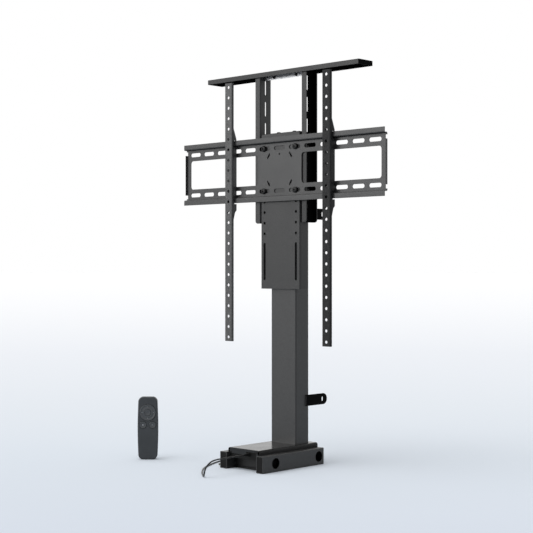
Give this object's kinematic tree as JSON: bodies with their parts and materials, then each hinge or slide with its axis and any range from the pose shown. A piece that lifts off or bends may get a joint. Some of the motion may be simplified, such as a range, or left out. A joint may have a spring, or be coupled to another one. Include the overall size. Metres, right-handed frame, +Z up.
{
  "type": "motorized tv stand",
  "caption": "Floor-standing lift for a television: base, telescoping screw-driven column, slotted mounting plate with hook-on arms, lid plate, power lead and hand control.",
  "frame": {"origin": "middle of the base's underside, on the floor", "axes": "+Z up, +X to the viewer's right along the mounting plate, +Y to the rear, where the wall tabs point"},
  "size_m": [0.635, 0.3727, 0.9205],
  "materials": {
    "coated_steel": "fine matte powder coat",
    "dark_steel": "fine matte powder coat",
    "zinc_steel": "zinc plated",
    "black_screw": "black oxide",
    "black_plastic": "fine moulded texture",
    "pale_plastic": "smooth acetal",
    "board": "solder mask",
    "cord": "smooth PVC jacket",
    "hand_plastic": "satin moulded",
    "key_plastic": "soft sheen",
    "battery": "plain"
  },
  "bodies": {
    "base": {"base_rail_left": "coated_steel", "base_rail_right": "coated_steel", "base_floor_plate": "dark_steel", "front_crossbar": "dark_steel", "rear_crossbar": "dark_steel", "rail_end_plugs": "black_plastic", "base_cover": "coated_steel", "control_box": "black_plastic", "control_board": "board", "cord_gland": "black_plastic", "column_outer": "coated_steel", "upper_glide_pads": "pale_plastic", "motor": "zinc_steel", "gearbox": "zinc_steel", "screw_bearing": "zinc_steel", "wall_tab_low_right": "dark_steel", "wall_tab_high_right": "dark_steel", "wall_tab_low_left": "dark_steel", "wall_tab_high_left": "dark_steel", "hand_front_shell": "hand_plastic", "hand_back_shell": "hand_plastic", "hand_board": "board", "hand_battery": "battery", "power_cord": "cord", "cord_coil": "cord", "cord_tail": "cord", "cord_connector": "black_plastic"},
    "screw": {"lift_screw": "zinc_steel"},
    "carriage": {"column_inner": "coated_steel", "lower_glide_pads": "pale_plastic", "drive_nut": "pale_plastic", "column_head": "dark_steel", "carriage_plate": "coated_steel", "head_screws": "black_screw", "lid_bracket": "coated_steel", "press_nuts": "zinc_steel", "mounting_plate": "coated_steel", "plate_bolts": "black_screw", "channel_bolts": "black_screw", "channel_nuts": "zinc_steel"},
    "lid_frame": {"upright_left": "coated_steel", "upright_right": "coated_steel", "tie_bar": "zinc_steel", "lid_plate": "coated_steel", "lid_screws": "black_screw", "lid_nuts": "zinc_steel"},
    "left_arm": {"arm_left": "coated_steel", "arm_lock_left": "black_screw"},
    "right_arm": {"arm_right": "coated_steel", "arm_lock_right": "black_screw"},
    "ring_key": {"hand_ring_key": "key_plastic"},
    "centre_key": {"hand_centre_key": "key_plastic"},
    "left_key": {"hand_left_key": "key_plastic"},
    "right_key": {"hand_right_key": "key_plastic"}
  },
  "joints": [
    {"name": "lift", "type": "slide", "parent": "base", "child": "carriage", "axis": [0, 0, 1], "range_m": [0, 0.5]},
    {"name": "screw_turn", "type": "hinge", "parent": "base", "child": "screw", "pos_m": [0, 0.06, 0.11], "axis": [0, 0, 1], "range_deg": [-22500, 0]},
    {"name": "lid_height", "type": "slide", "parent": "carriage", "child": "lid_frame", "axis": [0, 0, 1], "range_m": [-0.014, 0.014]},
    {"name": "left_arm_slide", "type": "slide", "parent": "carriage", "child": "left_arm", "axis": [1, 0, 0], "range_m": [-0.15, 0.05]},
    {"name": "right_arm_slide", "type": "slide", "parent": "carriage", "child": "right_arm", "axis": [1, 0, 0], "range_m": [-0.06, 0.14]},
    {"name": "ring_key_tilt", "type": "hinge", "parent": "base", "child": "ring_key", "pos_m": [-0.28331, -0.13492, 0.1125], "axis": [0.7242, 0.6896, 0], "range_deg": [-2.2, 2.2], "stiffness_Nm_per_rad": 0.2},
    {"name": "centre_key_press", "type": "slide", "parent": "base", "child": "centre_key", "axis": [-0.6896, 0.7242, 0], "range_m": [0, 0.0008], "stiffness_N_per_m": 1500},
    {"name": "left_key_press", "type": "slide", "parent": "base", "child": "left_key", "axis": [-0.6896, 0.7242, 0], "range_m": [0, 0.0008], "stiffness_N_per_m": 1500},
    {"name": "right_key_press", "type": "slide", "parent": "base", "child": "right_key", "axis": [-0.6896, 0.7242, 0], "range_m": [0, 0.0008], "stiffness_N_per_m": 1500}
  ],
  "couplings": [
    {"joint": "screw_turn", "follows": "lift", "rad_per_m": -785.39}
  ]
}
